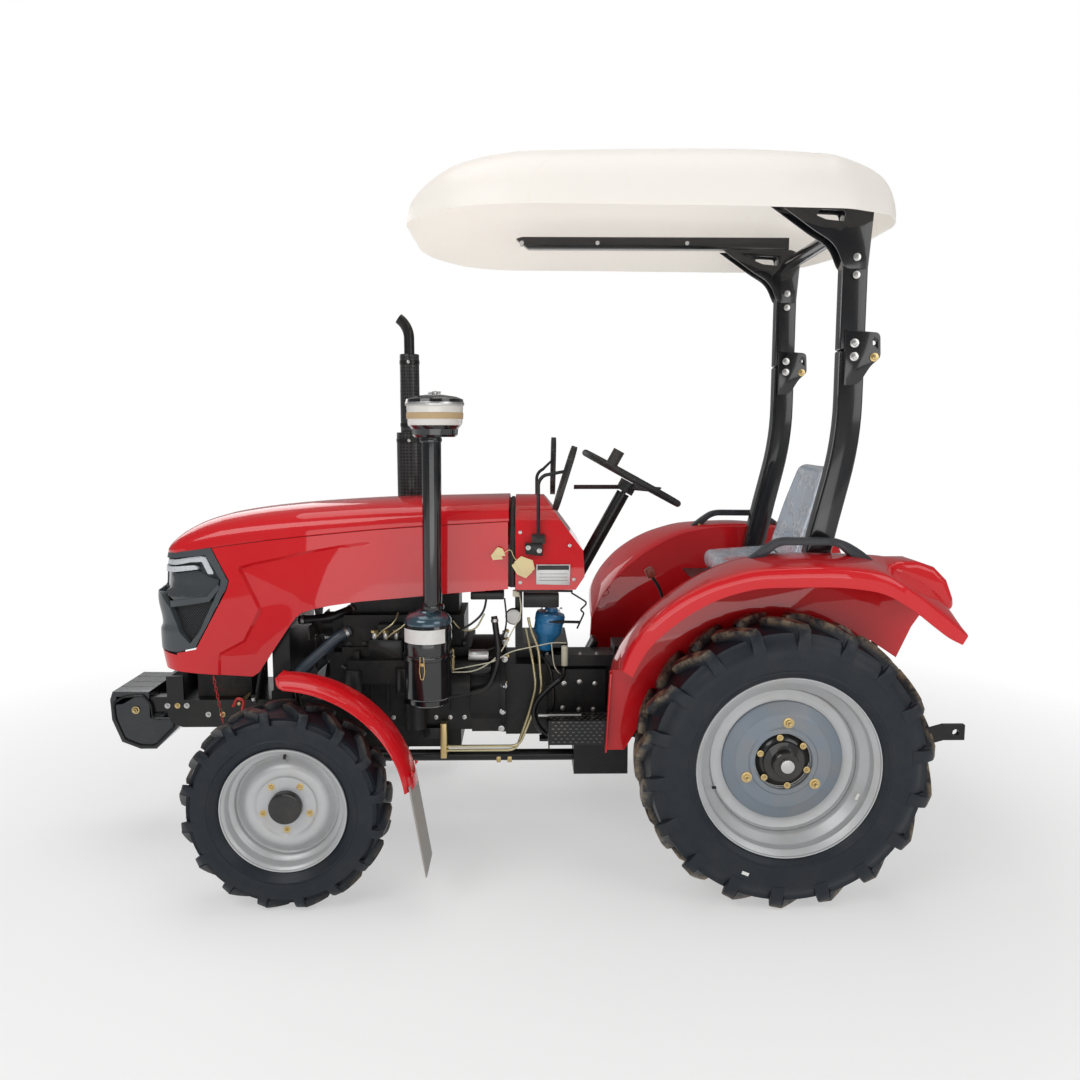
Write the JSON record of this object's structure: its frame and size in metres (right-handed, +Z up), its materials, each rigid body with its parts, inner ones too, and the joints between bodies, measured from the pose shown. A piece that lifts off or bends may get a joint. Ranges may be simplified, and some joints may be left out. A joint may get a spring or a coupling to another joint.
{
  "type": "compact farm tractor",
  "caption": "Compact four-wheel-drive farm tractor with hinged hood, open engine, folding canopy frame, steered front wheels and a three-point hitch.",
  "frame": {"origin": "on the ground under the middle of the tractor's overall length and width", "axes": "-X to the front, +X to the rear, +Y to the tractor's right side, +Z up"},
  "size_m": [2.92, 1.38, 2.359],
  "materials": {
    "red_paint": "gloss",
    "black_paint": "semi-gloss",
    "engine_paint": "painted casting",
    "silver_rim": "satin",
    "tyre": "matt",
    "flap_rubber": "matt",
    "dark_plastic": "moulded",
    "radiator_metal": "painted",
    "canopy_plastic": "satin",
    "clear_plastic": "translucent",
    "seat_vinyl": "film-wrapped",
    "blue_paint": "gloss",
    "pipe_steel": "zinc plated",
    "lamp_lens": "clear"
  },
  "bodies": {
    "chassis": {"air_cleaner": "black_paint", "battery": "dark_plastic", "clutch_housing": "black_paint", "cowl_pillar": "black_paint", "cylinder_head": "engine_paint", "dash_cowl": "red_paint", "drawbar": "black_paint", "drive_shaft": "black_paint", "engine_accessories": "engine_paint", "engine_block": "engine_paint", "exhaust": "black_paint", "fan": "dark_plastic", "foot_plates": "black_paint", "front_axle": "black_paint", "front_frame": "black_paint", "front_weights": "black_paint", "gearbox": "black_paint", "grab_handles": "dark_plastic", "hydraulic_pipes": "pipe_steel", "intake_stack": "black_paint", "lift_housing": "black_paint", "mirrors": "dark_plastic", "pedals_and_levers": "black_paint", "precleaner_bowl": "clear_plastic", "radiator": "radiator_metal", "rear_axle": "black_paint", "rear_fender_left": "red_paint", "rear_fender_right": "red_paint", "rops_lower": "black_paint", "seat_back": "seat_vinyl", "seat_cushion": "seat_vinyl", "seat_pedestal": "black_paint", "steering_column": "dark_plastic", "steering_unit": "blue_paint"},
    "hood": {"hood_top": "red_paint", "hood_side_left": "red_paint", "hood_side_right": "red_paint", "hood_nose": "red_paint", "headlamps": "lamp_lens"},
    "knuckle_left": {"knuckle_left": "black_paint", "front_guard_left": "red_paint", "mud_flap_left": "flap_rubber"},
    "knuckle_right": {"knuckle_right": "black_paint", "front_guard_right": "red_paint", "mud_flap_right": "flap_rubber"},
    "tie_rod": {"tie_rod": "black_paint"},
    "wheel_front_left": {"front_rim_left": "silver_rim", "front_tyre_left": "tyre"},
    "wheel_front_right": {"front_rim_right": "silver_rim", "front_tyre_right": "tyre"},
    "wheel_rear_left": {"rear_rim_left": "silver_rim", "rear_tyre_left": "tyre"},
    "wheel_rear_right": {"rear_rim_right": "silver_rim", "rear_tyre_right": "tyre"},
    "steering_wheel": {"steering_wheel": "dark_plastic"},
    "canopy_frame": {"rops_upper": "black_paint", "canopy": "canopy_plastic"},
    "lift_arms": {"lift_arms": "black_paint"},
    "lift_rods": {"lift_rods": "black_paint"},
    "lower_links": {"lower_links": "black_paint"}
  },
  "joints": [
    {"name": "hood_hinge", "type": "hinge", "parent": "chassis", "child": "hood", "pos_m": [-0.058, 0, 1.216], "axis": [0, 1, 0], "range_deg": [0, 50]},
    {"name": "steer_left", "type": "hinge", "parent": "chassis", "child": "knuckle_left", "pos_m": [-0.731, -0.44, 0.32], "axis": [0, 0, 1], "range_deg": [-38, 38]},
    {"name": "steer_right", "type": "hinge", "parent": "chassis", "child": "knuckle_right", "pos_m": [-0.731, 0.44, 0.32], "axis": [0, 0, 1], "range_deg": [-38, 38]},
    {"name": "tie_rod_pivot", "type": "hinge", "parent": "knuckle_left", "child": "tie_rod", "pos_m": [-0.601, -0.44, 0.223], "axis": [0, 0, 1], "range_deg": [-38, 38]},
    {"name": "steering_wheel_turn", "type": "hinge", "parent": "chassis", "child": "steering_wheel", "pos_m": [0.38, 0, 1.288], "axis": [0.4818, 0, 0.8763], "range_deg": [-513, 513]},
    {"name": "front_left_spin", "type": "hinge", "parent": "knuckle_left", "child": "wheel_front_left", "pos_m": [-0.731, -0.565, 0.32], "axis": [0, 1, 0], "continuous": true},
    {"name": "front_right_spin", "type": "hinge", "parent": "knuckle_right", "child": "wheel_front_right", "pos_m": [-0.731, 0.565, 0.32], "axis": [0, 1, 0], "continuous": true},
    {"name": "rear_left_spin", "type": "hinge", "parent": "chassis", "child": "wheel_rear_left", "pos_m": [0.788, -0.55, 0.452], "axis": [0, 1, 0], "continuous": true},
    {"name": "rear_right_spin", "type": "hinge", "parent": "chassis", "child": "wheel_rear_right", "pos_m": [0.788, 0.55, 0.452], "axis": [0, 1, 0], "continuous": true},
    {"name": "canopy_fold", "type": "hinge", "parent": "chassis", "child": "canopy_frame", "pos_m": [1.082, 0, 1.683], "axis": [0, 1, 0], "range_deg": [0, 90]},
    {"name": "lift_arm_pivot", "type": "hinge", "parent": "chassis", "child": "lift_arms", "pos_m": [0.908, 0, 0.735], "axis": [0, -1, 0], "range_deg": [-22, 32]},
    {"name": "lower_link_pivot", "type": "hinge", "parent": "chassis", "child": "lower_links", "pos_m": [0.898, 0, 0.33], "axis": [0, -1, 0], "range_deg": [-22, 32]},
    {"name": "lift_rod_pivot", "type": "hinge", "parent": "lift_arms", "child": "lift_rods", "pos_m": [1.198, 0, 0.80586], "axis": [0, -1, 0], "range_deg": [-32, 22]}
  ],
  "couplings": [
    {"joint": "steer_right", "follows": "steer_left", "ratio": 1},
    {"joint": "tie_rod_pivot", "follows": "steer_left", "ratio": -1},
    {"joint": "steering_wheel_turn", "follows": "steer_left", "ratio": 13.5},
    {"joint": "lower_link_pivot", "follows": "lift_arm_pivot", "ratio": 1},
    {"joint": "lift_rod_pivot", "follows": "lift_arm_pivot", "ratio": -1}
  ]
}
